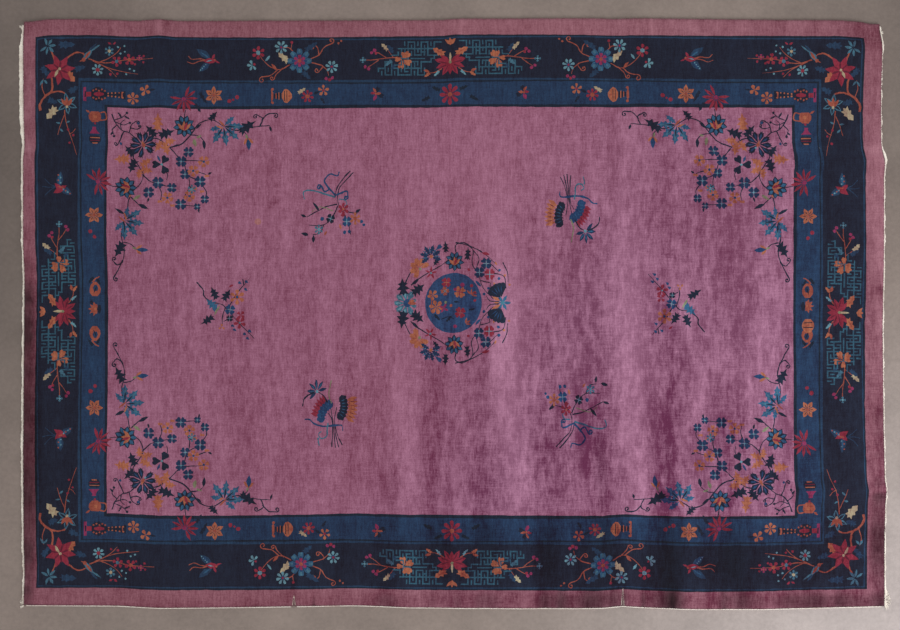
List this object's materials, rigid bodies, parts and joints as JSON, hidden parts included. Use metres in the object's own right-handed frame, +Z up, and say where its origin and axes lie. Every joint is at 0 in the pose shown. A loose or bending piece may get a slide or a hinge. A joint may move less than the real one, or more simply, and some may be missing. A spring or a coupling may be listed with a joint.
{
  "type": "chinese art deco rug",
  "caption": "Rectangular hand-knotted wool rug lying flat, with low ripples, wavering edges, cotton end webs and a front selvage cord.",
  "frame": {"origin": "middle of the rug's box, on the floor under it", "axes": "+X along the rug's length, +Y across its width towards the edge with no cord, +Z up"},
  "size_m": [3.6062, 2.4402, 0.0175],
  "materials": {
    "wool_pile": "cut wool pile, mauve field with navy and blue borders",
    "cotton_web": "undyed woven cotton with cut warp ends",
    "cotton_cord": "undyed cotton yarn wrapped round a cord"
  },
  "bodies": {
    "root": {"rug": "wool_pile", "end_web_left": "cotton_web", "end_web_right": "cotton_web", "selvage_front_left": "cotton_cord", "selvage_front_right": "cotton_cord"}
  },
  "joints": []
}
